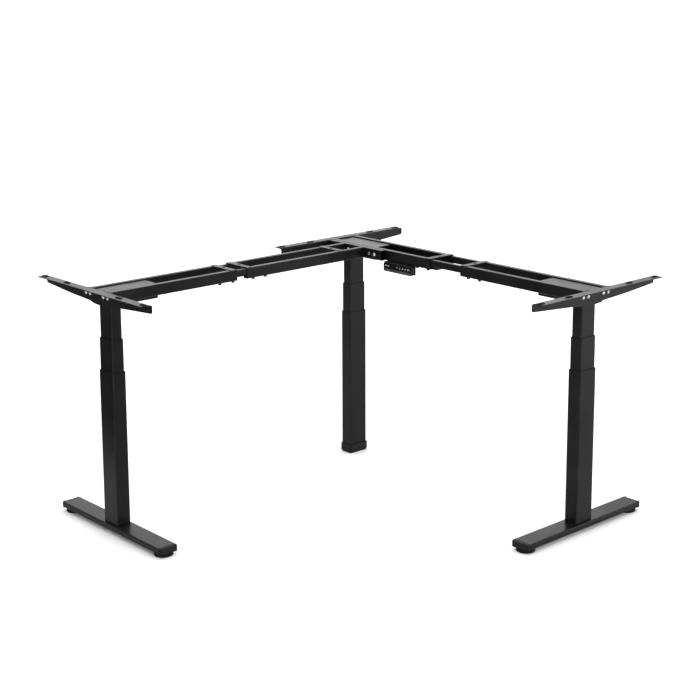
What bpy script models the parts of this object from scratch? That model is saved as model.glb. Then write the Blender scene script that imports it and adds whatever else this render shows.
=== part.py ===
"""L-shaped standing-desk frame with three telescopic lifting columns, without its table top.

Metres, +Z up. The origin is on the floor under the centre of the corner column. The main wing runs
along +X to the right leg, and the return wing along -Y to the left leg. Every leg has three nested
tubes with a telescopic screw drive inside, and each wing changes its length on a pair of inner rails.
"""

import math

import bmesh
import bpy
from mathutils import Matrix, Vector

GAP = 0.0003  # clearance between pieces that touch
INSET = 0.0004  # how far a welded-on shape stays inside the face it is welded to

# Plan: where the three legs stand, and where the wings' rails begin and end
CORNER_LEG = (0.0, 0.0)
RIGHT_LEG = (1.095, 0.0)
LEFT_LEG = (0.083, -1.129)
CORNER_RAIL_END = 0.4605
RIGHT_RAIL_START = 0.605
STUB_RAIL_END = -0.618
LEFT_RAIL_START = -0.660
RAIL_PAST_LEG = 0.045
LEFT_END_SHIFT = 0.010  # the left wing's rails and bracket end this much nearer its leg
INNER_RAIL_X = (0.160, 0.960)
INNER_RAIL_Y = (-0.200, -0.980)

# Beam section
TOP_Z = 0.822
BEAM_WIDTH = 0.120
RAIL_WIDTH = 0.020
RAIL_DEPTH = 0.037
RAIL_WALL = 0.002
INNER_RAIL_WIDTH = RAIL_WIDTH - 2 * RAIL_WALL - 2 * GAP
INNER_RAIL_Z = (0.7955, TOP_Z - RAIL_WALL - GAP)
TIE_WIDTH = 0.022
TIE_RISE = 0.0015
TIE_HOLE_RADIUS = 0.006
END_PLATE, END_PLATE_WIDTH = 0.003, 0.045
END_PLATE_Z = (0.7870, 0.8215)
STUB_INNER_TIE_Y = -0.185
CROSS_TUBE_X = (-0.0443, 0.235)

# Lifting columns, at the height the desk is stored at
TUBE_LONG, TUBE_SHORT = 0.080, 0.050
TUBE_STEP = 0.0055
TUBE_WALL = 0.0015
TUBE_CORNER = 0.004
OUTER_TOP, MIDDLE_TOP, INNER_TOP = 0.5500, 0.6575, 0.7740
MIDDLE_BOTTOM, INNER_BOTTOM = 0.1425, 0.2450
SPINDLE_RADIUS = 0.007
SPINDLE_BOTTOM = 0.260
MIDDLE_SCREW_RADIUS = 0.011
MIDDLE_SCREW_BORE = 0.0085
MIDDLE_SCREW_Z = (0.1400, 0.5250)
NUT_TUBE_RADIUS = 0.015
NUT_TUBE_BORE = 0.0125
NUT_TUBE_TOP = 0.3950
NUT_DEPTH = 0.025
NUT_CLEARANCE = 0.0005

# Motor housings between the rails
HOUSING_INBOARD, HOUSING_OUTBOARD = 0.162, 0.044
HOUSING_WIDTH = 0.0785
HOUSING_BOTTOM = 0.7715
HOUSING_DROP = 0.0035  # from the rails' tops down to the housing's
HOUSING_WALL = 0.002
GEARBOX_SIZE = (0.058, 0.066, 0.0415)
MOTOR_RADIUS = 0.0195
MOTOR_LENGTH = 0.100

# Feet
FOOT_LENGTH, FOOT_WIDTH = 0.582, 0.070
FOOT_TOP, FOOT_HEIGHT = 0.0332, 0.0200
CAP_LENGTH = 0.016
GLIDE_RADIUS = 0.031
GLIDE_INSET = 0.032
GLIDE_PAD = 0.0105
SHOE_RIM = 0.0040
SHOE_HEIGHT = 0.0280
SHOE_BOTTOM = 0.0050
SHOE_FLOOR = 0.0060

# Side brackets: u runs from the tab end to the front end, depths go down from the top
BRACKET_LENGTH = 0.608
BRACKET_INNER = RAIL_PAST_LEG + END_PLATE + GAP  # distance of the web from the leg's centre plane
BRACKET_WIDTH = 0.035
BRACKET_SHEET = 0.003
BRACKET_WEB = (
    (0.003, 0.0235), (0.143, 0.0350), (0.270, 0.0412), (0.290, 0.0468), (0.328, 0.0485),
    (0.412, 0.0395), (0.600, 0.0255), (0.608, 0.0190),
)
RIGHT_BRACKET_START, LEFT_BRACKET_START, CORNER_BRACKET_START = 0.2975, -0.233, -0.311
BRACKET_SLOTS = (0.019, 0.155, 0.455, 0.588)
SLOT_LENGTH, SLOT_WIDTH = 0.024, 0.010

# Control box, and handset under the near rail of the main wing
CONTROL_BOX = ((0.176, 0.0020, 0.7690), (0.432, 0.0395, 0.7950))
HANDSET_CENTRE_X = 0.310
HANDSET_WIDTH, HANDSET_HEIGHT, HANDSET_DEPTH = 0.140, 0.0346, 0.0240
HANDSET_FRONT_Y = -0.0735
PANEL_WIDTH, PANEL_HEIGHT, PANEL_THICKNESS = 0.1350, 0.0190, 0.0020
PANEL_BELOW_TOP = 0.0140  # from the handset's top to the panel's middle
KEY_SIZE, KEY_PROUD, KEY_THICKNESS = 0.0096, 0.0004, 0.0034
KEY_HOLE = 0.0102
KEY_TRAVEL_ROOM = 0.0050
KEYS = {
    "key_up": -0.0580, "key_down": -0.0443, "key_1": -0.0009, "key_2": 0.0138,
    "key_3": 0.0283, "key_4": 0.0424, "key_memory": 0.0565,
}

MATERIALS = {
    # name: (colour, roughness, metallic)
    "black_powder_coat": ((0.030, 0.031, 0.033), 0.50, 0.0),
    "black_plastic": ((0.020, 0.020, 0.022), 0.60, 0.0),
    "black_rubber": ((0.015, 0.015, 0.015), 0.85, 0.0),
    "zinc_steel": ((0.55, 0.56, 0.58), 0.35, 1.0),
    "motor_grey": ((0.16, 0.16, 0.17), 0.45, 0.6),
    "gloss_black": ((0.010, 0.010, 0.012), 0.08, 0.0),
}

parts = None
cutters = None


def clear_scene():
    for item in list(bpy.data.objects):
        bpy.data.objects.remove(item, do_unlink=True)


def new_collection(name):
    collection = bpy.data.collections.new(name)
    bpy.context.scene.collection.children.link(collection)
    return collection


def material(name):
    found = bpy.data.materials.get(name)
    if found:
        return found
    colour, roughness, metallic = MATERIALS[name]
    made = bpy.data.materials.new(name)
    made.use_nodes = True
    shader = made.node_tree.nodes["Principled BSDF"]
    shader.inputs["Base Color"].default_value = (*colour, 1.0)
    shader.inputs["Roughness"].default_value = roughness
    shader.inputs["Metallic"].default_value = metallic
    return made


def add_mesh(name, mesh_builder, finish, collection=None):
    """A new object whose mesh is drawn by a bmesh, in world coordinates."""
    mesh = bpy.data.meshes.new(name)
    drawing = bmesh.new()
    mesh_builder(drawing)
    bmesh.ops.recalc_face_normals(drawing, faces=drawing.faces)
    drawing.to_mesh(mesh)
    drawing.free()
    made = bpy.data.objects.new(name, mesh)
    (collection or parts).objects.link(made)
    if finish:
        mesh.materials.append(material(finish))
    return made


def cube_between(drawing, low, high):
    low, high = Vector(low), Vector(high)
    place = Matrix.Translation((low + high) / 2) @ Matrix.Diagonal((*(high - low), 1.0))
    return bmesh.ops.create_cube(drawing, size=1.0, matrix=place)["verts"]


def cylinder_between(drawing, start, end, radius, sides=24, end_radius=None):
    start, end = Vector(start), Vector(end)
    turn = (end - start).to_track_quat("Z", "Y").to_matrix().to_4x4()
    place = Matrix.Translation((start + end) / 2) @ turn
    bmesh.ops.create_cone(
        drawing, cap_ends=True, segments=sides, radius1=radius,
        radius2=radius if end_radius is None else end_radius, depth=(end - start).length, matrix=place,
    )


def add_box(name, low, high, finish, round_edges=0.0, collection=None):
    made = add_mesh(name, lambda drawing: cube_between(drawing, low, high), finish, collection)
    if round_edges:
        add_bevel(made, round_edges)
    return made


def add_cylinder(name, start, end, radius, finish, sides=24, end_radius=None, collection=None):
    return add_mesh(
        name,
        lambda drawing: cylinder_between(drawing, start, end, radius, sides, end_radius),
        finish,
        collection,
    )


def add_bevel(target, width, segments=2):
    bevel = target.modifiers.new("round_edges", "BEVEL")
    bevel.width = width
    bevel.segments = segments
    bevel.limit_method = "ANGLE"
    return bevel


def smooth(target, angle=40):
    target.data.shade_smooth()
    target.data.set_sharp_from_angle(angle=math.radians(angle))


def combine(target, other, operation):
    """A Boolean with another object, which becomes a hidden helper."""
    for collection in list(other.users_collection):
        collection.objects.unlink(other)
    cutters.objects.link(other)
    other.hide_render = True
    other.display_type = "WIRE"
    step = target.modifiers.new(operation.lower() + "_" + other.name, "BOOLEAN")
    step.operation = operation
    step.solver = "EXACT"
    step.object = other


def open_tube(name, low, high, axis, wall, corner, finish):
    """A rectangular tube with round corners, open at both ends, drawn as a skin with a thickness."""

    def draw(drawing):
        cube_between(drawing, low, high)
        along = Vector([float(i == axis) for i in range(3)])
        ends = [face for face in drawing.faces if abs(face.normal.dot(along)) > 0.9]
        bmesh.ops.delete(drawing, geom=ends, context="FACES")
        long_edges = [
            edge for edge in drawing.edges
            if abs((edge.verts[0].co - edge.verts[1].co).normalized().dot(along)) > 0.9
        ]
        bmesh.ops.bevel(drawing, geom=long_edges, offset=corner, segments=3, affect="EDGES", profile=0.5)

    made = add_mesh(name, draw, finish)
    skin = made.modifiers.new("wall", "SOLIDIFY")
    skin.thickness = wall
    skin.offset = -1.0
    skin.use_even_offset = True
    smooth(made)
    return made


def outline_plate(name, outline, place, thickness, finish):
    """A flat plate from a closed outline of (u, v) points, put in the world by the matrix `place`."""
    curve = bpy.data.curves.new(name + "_outline", "CURVE")
    curve.dimensions = "2D"
    curve.fill_mode = "BOTH"
    curve.extrude = thickness / 2
    spline = curve.splines.new("POLY")
    spline.points.add(len(outline) - 1)
    for point, (u, v) in zip(spline.points, outline):
        point.co = (u, v, 0.0, 1.0)
    spline.use_cyclic_u = True
    drawn = bpy.data.objects.new(name + "_outline", curve)
    parts.objects.link(drawn)
    drawn.matrix_world = place
    bpy.context.view_layer.update()
    seen = drawn.evaluated_get(bpy.context.evaluated_depsgraph_get())
    mesh = bpy.data.meshes.new_from_object(seen)
    bpy.data.objects.remove(drawn, do_unlink=True)
    drawing = bmesh.new()
    drawing.from_mesh(mesh)
    bmesh.ops.transform(drawing, matrix=place, verts=drawing.verts)
    bmesh.ops.remove_doubles(drawing, verts=drawing.verts, dist=0.00001)
    bmesh.ops.recalc_face_normals(drawing, faces=drawing.faces)
    drawing.to_mesh(mesh)
    drawing.free()
    made = bpy.data.objects.new(name, mesh)
    parts.objects.link(made)
    if finish:
        mesh.materials.append(material(finish))
    return made


# ---------------------------------------------------------------- lifting columns


def leg_box(leg, long_axis, stage, bottom, top):
    """Corners of a column stage: stage 0 is the outer tube, 1 the middle tube and 2 the inner tube."""
    long_side = TUBE_LONG - stage * TUBE_STEP
    short_side = TUBE_SHORT - stage * TUBE_STEP
    size = (long_side, short_side) if long_axis == "X" else (short_side, long_side)
    low = (leg[0] - size[0] / 2, leg[1] - size[1] / 2, bottom)
    high = (leg[0] + size[0] / 2, leg[1] + size[1] / 2, top)
    return low, high


def build_column(name, leg, long_axis, outer_bottom, nut_tube_bottom):
    stages = (
        ("outer_tube", outer_bottom, OUTER_TOP),
        ("middle_tube", MIDDLE_BOTTOM, MIDDLE_TOP),
        ("inner_tube", INNER_BOTTOM, INNER_TOP),
    )
    for stage, (stage_name, bottom, top) in enumerate(stages):
        low, high = leg_box(leg, long_axis, stage, bottom, top)
        open_tube(f"{name}_{stage_name}", low, high, 2, TUBE_WALL, TUBE_CORNER, "black_powder_coat")
    build_screw_drive(name, leg, nut_tube_bottom)


def turned(name, leg, profile, finish, steps=20):
    """A turned piece: the (radius, height) profile swept round the leg's vertical axis."""
    mesh = bpy.data.meshes.new(name)
    points = [(radius, 0.0, height) for radius, height in profile]
    closed = [(i, (i + 1) % len(points)) for i in range(len(points))]
    mesh.from_pydata(points, closed, [])
    mesh.materials.append(material(finish))
    made = bpy.data.objects.new(name, mesh)
    made.location = (leg[0], leg[1], 0.0)
    parts.objects.link(made)
    screw = made.modifiers.new("turn", "SCREW")
    screw.steps = screw.render_steps = steps
    screw.use_merge_vertices = True
    screw.merge_threshold = 0.00001
    screw.use_smooth_shade = True
    return made


def build_screw_drive(name, leg, nut_tube_bottom):
    """The telescopic screw: an upper spindle, a hollow middle screw with its nut, and a fixed nut tube."""
    add_cylinder(
        f"{name}_upper_spindle",
        (*leg, SPINDLE_BOTTOM), (*leg, INNER_TOP - GAP), SPINDLE_RADIUS, "zinc_steel", sides=16,
    )
    bottom, top = MIDDLE_SCREW_Z
    nut_bore = SPINDLE_RADIUS + NUT_CLEARANCE
    turned(
        f"{name}_middle_screw",
        leg,
        (
            (MIDDLE_SCREW_RADIUS, top), (MIDDLE_SCREW_RADIUS, bottom),
            (MIDDLE_SCREW_BORE, bottom), (MIDDLE_SCREW_BORE, top - NUT_DEPTH),
            (nut_bore, top - NUT_DEPTH), (nut_bore, top),
        ),
        "zinc_steel",
    )
    lower_bore = MIDDLE_SCREW_RADIUS + NUT_CLEARANCE
    turned(
        f"{name}_nut_tube",
        leg,
        (
            (NUT_TUBE_RADIUS, NUT_TUBE_TOP), (NUT_TUBE_RADIUS, nut_tube_bottom),
            (NUT_TUBE_BORE, nut_tube_bottom), (NUT_TUBE_BORE, NUT_TUBE_TOP - NUT_DEPTH),
            (lower_bore, NUT_TUBE_TOP - NUT_DEPTH), (lower_bore, NUT_TUBE_TOP),
        ),
        "motor_grey",
    )


def build_gear_motor(name, leg, inboard):
    """A right-angle gearbox on the column's head, with its motor lying along the beam."""
    axis = Vector((*inboard, 0.0))
    side = Vector((-inboard[1], inboard[0], 0.0))
    base = Vector((*leg, INNER_TOP + GAP))
    along, across, height = GEARBOX_SIZE
    half = axis * along / 2 + side * across / 2
    corners = [base - half, base + half + Vector((0, 0, height))]
    low = [min(c[i] for c in corners) for i in range(3)]
    high = [max(c[i] for c in corners) for i in range(3)]
    gearbox = add_box(f"{name}_gear_motor", low, high, "motor_grey")
    motor_height = Vector((0.0, 0.0, INNER_TOP + GAP + MOTOR_RADIUS + 0.001))
    start = Vector((*leg, 0.0)) + motor_height + axis * (along / 2 - 0.002)
    can = add_cylinder(f"{name}_motor_can", start, start + axis * MOTOR_LENGTH, MOTOR_RADIUS, None)
    combine(gearbox, can, "UNION")


# ---------------------------------------------------------------- beams


def beam_boxes(centre, direction, start, end):
    """Boxes of the two rails of a beam that runs along X or Y, in world corners."""
    boxes = {}
    for name, side in (("near", -1.0), ("far", 1.0)):
        outer = side * BEAM_WIDTH / 2
        inner = side * (BEAM_WIDTH / 2 - RAIL_WIDTH)
        if direction == "X":
            low = (min(start, end), centre + min(outer, inner), TOP_Z - RAIL_DEPTH)
            high = (max(start, end), centre + max(outer, inner), TOP_Z)
        else:
            low = (centre - max(outer, inner), min(start, end), TOP_Z - RAIL_DEPTH)
            high = (centre - min(outer, inner), max(start, end), TOP_Z)
        boxes[name] = (low, high)
    return boxes


def grown(box, amounts):
    """The box with each side moved outwards by the amount for its axis, or inwards if it is negative."""
    low, high = box
    return (
        tuple(value - amount for value, amount in zip(low, amounts)),
        tuple(value + amount for value, amount in zip(high, amounts)),
    )


def build_rail_frame(name, centre, direction, start, end, ties, cross_tube=None, plates_at=None):
    """A welded pair of rail tubes with flat ties across them, and an end plate on each rail's outer end.

    `ties` are the ties' centres along the beam, and `plates_at` is the end that has the plates.
    """
    rails = beam_boxes(centre, direction, start, end)
    frame = add_box(name, *rails["near"], "black_powder_coat")
    combine(frame, add_box(name + "_far_rail", *rails["far"], None), "UNION")
    if cross_tube:
        combine(frame, add_box(name + "_cross_tube", *cross_tube, None), "UNION")
    for index, tie in enumerate(ties):
        along = (tie - TIE_WIDTH / 2, tie + TIE_WIDTH / 2)
        across = (centre - BEAM_WIDTH / 2 + INSET, centre + BEAM_WIDTH / 2 - INSET)
        heights = (TOP_Z - RAIL_WALL, TOP_Z + TIE_RISE)
        low, high = zip(along, across, heights) if direction == "X" else zip(across, along, heights)
        combine(frame, add_box(f"{name}_tie_{index}", low, high, None), "UNION")
        middle = (tie, centre) if direction == "X" else (centre, tie)
        hole = add_cylinder(
            f"{name}_tie_hole_{index}", (*middle, TOP_Z - 0.01), (*middle, TOP_Z + 0.01),
            TIE_HOLE_RADIUS, None, sides=16,
        )
        combine(frame, hole, "DIFFERENCE")
    hollow = (0.01, -RAIL_WALL, -RAIL_WALL) if direction == "X" else (-RAIL_WALL, 0.01, -RAIL_WALL)
    for side, box in rails.items():
        low, high = grown(box, hollow)
        if cross_tube:
            high = (high[0], cross_tube[0][1] - RAIL_WALL, high[2])
        combine(frame, add_box(f"{name}_{side}_hollow", low, high, None), "DIFFERENCE")
    if cross_tube:
        low, high = grown(cross_tube, (0.01, -RAIL_WALL, -RAIL_WALL))
        combine(frame, add_box(name + "_cross_hollow", low, high, None), "DIFFERENCE")
    if plates_at is not None:
        outwards = math.copysign(1.0, plates_at - (start + end) / 2)
        along = sorted((plates_at - outwards * INSET, plates_at + outwards * END_PLATE))
        for side in (-1.0, 1.0):
            middle = centre + side * (BEAM_WIDTH - RAIL_WIDTH) / 2
            across = (middle - END_PLATE_WIDTH / 2, middle + END_PLATE_WIDTH / 2)
            corners = (along, across, END_PLATE_Z) if direction == "X" else (across, along, END_PLATE_Z)
            combine(frame, add_box(f"{name}_end_plate_{side:.0f}", *zip(*corners), None), "UNION")
    return frame


def build_inner_rails(wing, centre, direction, start, end):
    for side, box in beam_boxes(centre, direction, start, end).items():
        low, high = list(box[0]), list(box[1])
        across = 1 if direction == "X" else 0
        middle = (low[across] + high[across]) / 2
        low[across], high[across] = middle - INNER_RAIL_WIDTH / 2, middle + INNER_RAIL_WIDTH / 2
        low[2], high[2] = INNER_RAIL_Z
        axis = 0 if direction == "X" else 1
        name = f"{wing}_{side}_inner_rail"
        open_tube(name, low, high, axis, RAIL_WALL, 0.002, "black_powder_coat")


def build_housing(name, leg, inboard, outboard_reach):
    """The folded sheet cover over a column's gear motor, open below, held between the rails."""
    axis = Vector((*inboard, 0.0))
    side = Vector((-inboard[1], inboard[0], 0.0))
    foot = Vector((*leg, HOUSING_BOTTOM))
    head = Vector((*leg, TOP_Z - HOUSING_DROP))
    corners = (
        foot + axis * HOUSING_INBOARD + side * HOUSING_WIDTH / 2,
        head - axis * outboard_reach - side * HOUSING_WIDTH / 2,
    )
    low = [min(c[i] for c in corners) for i in range(3)]
    high = [max(c[i] for c in corners) for i in range(3)]

    def draw(drawing):
        cube_between(drawing, low, high)
        below = [face for face in drawing.faces if face.normal.z < -0.9]
        bmesh.ops.delete(drawing, geom=below, context="FACES")
        inner_end = [
            edge for edge in drawing.edges
            if all((v.co - Vector((*leg, v.co.z))).dot(axis) > HOUSING_INBOARD - 0.001 for v in edge.verts)
            and abs(edge.verts[0].co.z - edge.verts[1].co.z) > 0.01
        ]
        bmesh.ops.bevel(drawing, geom=inner_end, offset=0.006, segments=3, affect="EDGES", profile=0.5)

    made = add_mesh(f"{name}_motor_housing", draw, "black_powder_coat")
    skin = made.modifiers.new("sheet", "SOLIDIFY")
    skin.thickness = HOUSING_WALL
    skin.offset = -1.0
    skin.use_even_offset = True
    return made


# ---------------------------------------------------------------- side brackets


def build_bracket(name, tab_end, forward, outward):
    """A folded side bracket: a tapered web that is bolted to the rails' end plates, and a flange on top.

    `tab_end` is the web's inner top corner at the tab end, `forward` runs along it and `outward` across it.
    """
    forward, outward = Vector((*forward, 0.0)), Vector((*outward, 0.0))
    corner = Vector((*tab_end, TOP_Z))
    ends = (
        corner + outward * INSET - Vector((0.0, 0.0, BRACKET_SHEET)),
        corner + forward * BRACKET_LENGTH + outward * BRACKET_WIDTH,
    )
    low = [min(e[i] for e in ends) for i in range(3)]
    high = [max(e[i] for e in ends) for i in range(3)]
    flange = add_box(name, low, high, "black_powder_coat")
    outline = [(BRACKET_WEB[0][0], -BRACKET_SHEET / 2)]
    outline += [(min(u, BRACKET_LENGTH - INSET), -depth) for u, depth in BRACKET_WEB]
    outline += [(BRACKET_LENGTH - INSET, -BRACKET_SHEET / 2)]
    place = Matrix.Identity(4)
    across = forward.cross(Vector((0.0, 0.0, 1.0)))
    web_middle = corner + outward * BRACKET_SHEET / 2
    for row in range(3):
        place[row][0], place[row][1] = forward[row], float(row == 2)
        place[row][2], place[row][3] = across[row], web_middle[row]
    combine(flange, outline_plate(name + "_web", outline, place, BRACKET_SHEET, None), "UNION")
    for index, u in enumerate(BRACKET_SLOTS):
        middle = corner + forward * u + outward * (BRACKET_WIDTH + BRACKET_SHEET) / 2
        slot = add_mesh(
            f"{name}_slot_{index}", lambda drawing, middle=middle: draw_slot(drawing, middle, forward), None
        )
        combine(flange, slot, "DIFFERENCE")
    return flange


def draw_slot(drawing, middle, forward):
    """A long hole: a cylinder whose two halves are pulled apart along the bracket."""
    reach = Vector((0.0, 0.0, 0.010))
    cylinder_between(drawing, middle - reach, middle + reach, SLOT_WIDTH / 2, sides=16)
    for vertex in drawing.verts:
        side = (vertex.co - middle).dot(forward)
        vertex.co += forward * math.copysign((SLOT_LENGTH - SLOT_WIDTH) / 2, side + 1e-6)


# ---------------------------------------------------------------- feet


def build_foot(name, leg, axis_name):
    """A flat foot tube with a moulded cap at each end, on two levelling glides."""
    axis = Vector((1.0, 0.0, 0.0)) if axis_name == "X" else Vector((0.0, 1.0, 0.0))
    side = Vector((0.0, 1.0, 0.0)) if axis_name == "X" else Vector((1.0, 0.0, 0.0))
    centre = Vector((*leg, 0.0))
    low_z, high_z = FOOT_TOP - FOOT_HEIGHT, FOOT_TOP
    body_half = FOOT_LENGTH / 2 - CAP_LENGTH

    def corners(start, end, half_width, z0, z1):
        ends = (
            centre + axis * start - side * half_width + Vector((0, 0, z0)),
            centre + axis * end + side * half_width + Vector((0, 0, z1)),
        )
        return [min(e[i] for e in ends) for i in range(3)], [max(e[i] for e in ends) for i in range(3)]

    body_box = corners(-body_half, body_half, FOOT_WIDTH / 2, low_z, high_z)
    open_tube(f"{name}_foot_tube", *body_box, 0 if axis_name == "X" else 1, 0.002, 0.0025,
              "black_powder_coat")
    front_sign = 1.0 if axis_name == "X" else -1.0
    for end_name, sign in (("front", front_sign), ("rear", -front_sign)):
        start, end = sign * (body_half + GAP), sign * FOOT_LENGTH / 2
        cap = add_box(f"{name}_{end_name}_cap", *corners(start, end, FOOT_WIDTH / 2, low_z, high_z),
                      "black_plastic")
        add_bevel(cap, 0.005, segments=3)
        smooth(cap)
        place = centre + axis * sign * (FOOT_LENGTH / 2 - GLIDE_INSET)
        build_glide(f"{name}_{end_name}_glide", place, low_z - GAP)


def build_glide(name, place, top):
    """A levelling glide: a rubber disc on a short round stem, turned in one piece."""
    turned(
        name,
        (place.x, place.y),
        (
            (0.0, top), (0.0065, top), (0.0065, GLIDE_PAD + 0.0008), (GLIDE_RADIUS - 0.008, GLIDE_PAD),
            (GLIDE_RADIUS - 0.001, GLIDE_PAD * 0.72), (GLIDE_RADIUS, GLIDE_PAD * 0.45),
            (GLIDE_RADIUS, 0.0012), (GLIDE_RADIUS - 0.0012, 0.0), (0.0, 0.0),
        ),
        "black_rubber",
        steps=28,
    )


def build_corner_shoe():
    """The corner column stands in a plastic shoe on a rubber floor pad."""
    low, high = leg_box(CORNER_LEG, "Y", 0, SHOE_BOTTOM, SHOE_BOTTOM + SHOE_HEIGHT)
    shoe = add_box("corner_shoe", *grown((low, high), (SHOE_RIM, SHOE_RIM, 0.0)), "black_plastic")
    pocket_low, pocket_high = leg_box(CORNER_LEG, "Y", 0, SHOE_BOTTOM + SHOE_FLOOR, SHOE_BOTTOM + 0.1)
    pocket = add_box("corner_shoe_pocket", *grown((pocket_low, pocket_high), (GAP, GAP, 0.0)), None)
    combine(shoe, pocket, "DIFFERENCE")
    pad_low, pad_high = leg_box(CORNER_LEG, "Y", 0, 0.0, SHOE_BOTTOM - GAP)
    add_box("corner_floor_pad", *grown((pad_low, pad_high), (0.001, 0.001, 0.0)), "black_rubber")


# ---------------------------------------------------------------- controls


def build_controls():
    add_box("control_box", *CONTROL_BOX, "black_plastic", round_edges=0.003)
    top = TOP_Z - RAIL_DEPTH - GAP
    left = HANDSET_CENTRE_X - HANDSET_WIDTH / 2
    right = HANDSET_CENTRE_X + HANDSET_WIDTH / 2
    housing = add_box(
        "handset_housing",
        (left, HANDSET_FRONT_Y, top - HANDSET_HEIGHT), (right, HANDSET_FRONT_Y + HANDSET_DEPTH, top),
        "black_plastic",
        round_edges=0.002,
    )
    middle_z = top - PANEL_BELOW_TOP
    half = PANEL_WIDTH / 2

    def face_box(name, half_width, half_height, y, centre_x=HANDSET_CENTRE_X, finish=None):
        return add_box(
            name,
            (centre_x - half_width, y[0], middle_z - half_height),
            (centre_x + half_width, y[1], middle_z + half_height),
            finish,
        )

    recess = (HANDSET_FRONT_Y - 0.01, HANDSET_FRONT_Y + KEY_TRAVEL_ROOM)
    combine(housing, face_box("handset_recess", half + GAP, PANEL_HEIGHT / 2 + GAP, recess), "DIFFERENCE")
    panel = face_box(
        "handset_panel", half, PANEL_HEIGHT / 2,
        (HANDSET_FRONT_Y, HANDSET_FRONT_Y + PANEL_THICKNESS), finish="gloss_black",
    )
    for name, offset in KEYS.items():
        centre_x = HANDSET_CENTRE_X + offset
        hole_y = (HANDSET_FRONT_Y - 0.01, HANDSET_FRONT_Y + 0.01)
        hole = face_box(name + "_hole", KEY_HOLE / 2, KEY_HOLE / 2, hole_y, centre_x)
        combine(panel, hole, "DIFFERENCE")
        key_y = (HANDSET_FRONT_Y - KEY_PROUD, HANDSET_FRONT_Y - KEY_PROUD + KEY_THICKNESS)
        key = face_box("handset_" + name, KEY_SIZE / 2, KEY_SIZE / 2, key_y, centre_x, "gloss_black")
        add_bevel(key, 0.0003, segments=1)


# ---------------------------------------------------------------- the whole desk


def build_desk():
    foot_column = FOOT_TOP + GAP
    shoe_column = SHOE_BOTTOM + SHOE_FLOOR + GAP
    build_column("corner", CORNER_LEG, "Y", shoe_column, shoe_column)
    build_column("right", RIGHT_LEG, "Y", foot_column, foot_column)
    build_column("left", LEFT_LEG, "X", foot_column, foot_column)
    inboard = {"corner": (1.0, 0.0), "right": (-1.0, 0.0), "left": (0.0, 1.0)}
    for name, leg in (("corner", CORNER_LEG), ("right", RIGHT_LEG), ("left", LEFT_LEG)):
        build_gear_motor(name, leg, inboard[name])
        shift = LEFT_END_SHIFT if name == "left" else 0.0
        build_housing(name, leg, inboard[name], HOUSING_OUTBOARD - shift)
    build_foot("right", RIGHT_LEG, "Y")
    build_foot("left", LEFT_LEG, "X")
    build_corner_shoe()

    half_tie = TIE_WIDTH / 2 + 0.002
    build_rail_frame(
        "corner_rail_frame", 0.0, "X", -RAIL_PAST_LEG, CORNER_RAIL_END, (CORNER_RAIL_END - half_tie,),
        plates_at=-RAIL_PAST_LEG,
    )
    right_end = RIGHT_LEG[0] + RAIL_PAST_LEG
    build_rail_frame(
        "right_rail_frame", 0.0, "X", RIGHT_RAIL_START, right_end, (RIGHT_RAIL_START + half_tie,),
        plates_at=right_end,
    )
    left_end = LEFT_LEG[1] - RAIL_PAST_LEG + LEFT_END_SHIFT
    build_rail_frame(
        "left_rail_frame", LEFT_LEG[0], "Y", left_end, LEFT_RAIL_START, (LEFT_RAIL_START - half_tie,),
        plates_at=left_end,
    )
    cross_far = -BEAM_WIDTH / 2 - GAP
    cross_tube = (
        (CROSS_TUBE_X[0], cross_far - RAIL_WIDTH, TOP_Z - RAIL_DEPTH), (CROSS_TUBE_X[1], cross_far, TOP_Z)
    )
    build_rail_frame(
        "return_rail_frame", LEFT_LEG[0], "Y", STUB_RAIL_END, cross_far - RAIL_WIDTH / 2,
        (STUB_RAIL_END + half_tie, STUB_INNER_TIE_Y), cross_tube,
    )
    build_inner_rails("main", 0.0, "X", *INNER_RAIL_X)
    build_inner_rails("return", LEFT_LEG[0], "Y", *INNER_RAIL_Y)

    right_start = (RIGHT_LEG[0] + BRACKET_INNER, RIGHT_BRACKET_START)
    build_bracket("right_side_bracket", right_start, (0.0, -1.0), (1.0, 0.0))
    left_start = (LEFT_BRACKET_START, LEFT_LEG[1] - BRACKET_INNER + LEFT_END_SHIFT)
    build_bracket("left_side_bracket", left_start, (1.0, 0.0), (0.0, -1.0))
    corner_start = (CORNER_LEG[0] - BRACKET_INNER, CORNER_BRACKET_START)
    build_bracket("corner_side_bracket", corner_start, (0.0, 1.0), (-1.0, 0.0))
    build_controls()


clear_scene()
parts = new_collection("standing_desk_frame")
cutters = new_collection("cutters")
build_desk()
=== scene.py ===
"""An L-shaped standing-desk frame on three telescopic lifting columns, finished around its CAD frame."""

import math

import bmesh
import bpy
from mathutils import Matrix, Vector


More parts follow.
